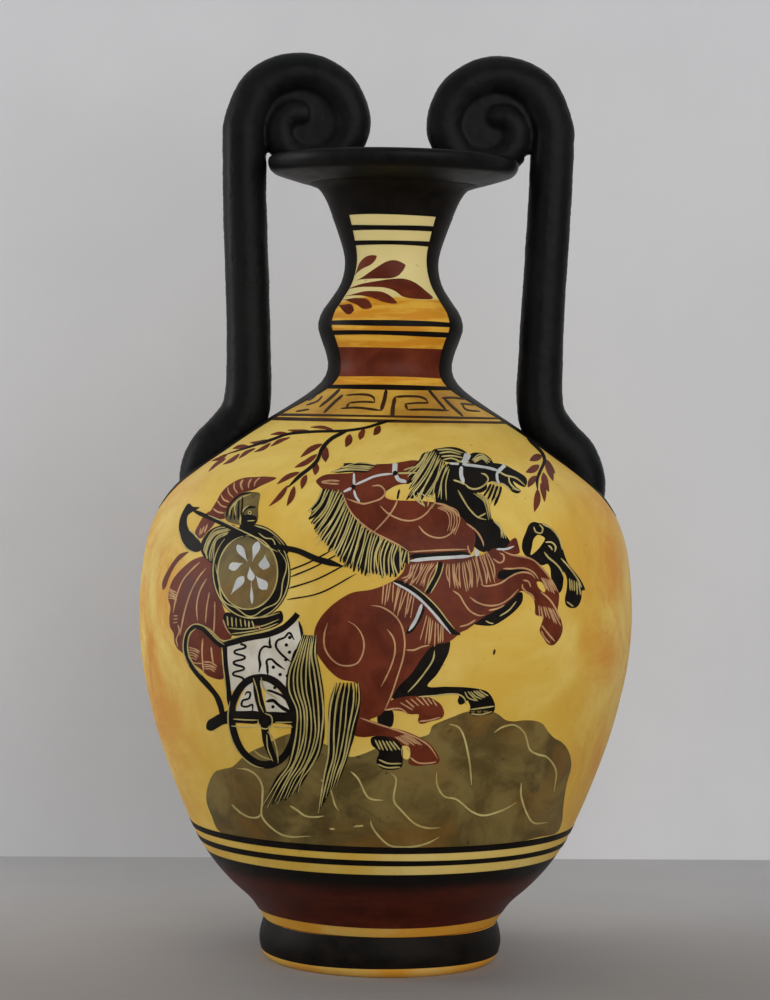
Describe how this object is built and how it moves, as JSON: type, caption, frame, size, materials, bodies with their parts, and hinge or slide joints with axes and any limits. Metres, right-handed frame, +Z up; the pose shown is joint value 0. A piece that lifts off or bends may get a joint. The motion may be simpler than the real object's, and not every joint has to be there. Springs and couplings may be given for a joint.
{
  "type": "amphora",
  "caption": "Slender-necked painted terracotta amphora with tall scroll handles, a dished mouth and a low ring foot, for display or for holding liquid.",
  "frame": {"origin": "middle of the foot's resting ring, on the surface that the vessel stands on", "axes": "+Z up the vessel's axis, -Y towards the painted front, the two handles at -X and +X, both set 1.5 mm towards +X as on the real one"},
  "size_m": [0.1634, 0.1634, 0.3],
  "materials": {
    "ochre_slip": "satin ochre slip over terracotta, washed by hand with darker ochre",
    "black_slip": "satin black slip with soft brush marks",
    "maroon_slip": "matt maroon paint, brushed by hand",
    "olive_slip": "matt olive-brown paint, brushed thin",
    "cream_line": "fine lines scratched through the paint to the cream clay",
    "white_slip": "matt white paint in small thick strokes",
    "bare_clay": "unglazed terracotta, seen inside the vessel and under the foot"
  },
  "bodies": {
    "root": {"foot": "black_slip", "lower_body": "ochre_slip", "shoulder": "ochre_slip", "collar": "ochre_slip", "neck": "ochre_slip", "mouth": "black_slip", "handle_root_left": "black_slip", "handle_shaft_left": "black_slip", "volute_left": "black_slip", "handle_root_right": "black_slip", "handle_shaft_right": "black_slip", "volute_right": "black_slip"}
  },
  "joints": []
}
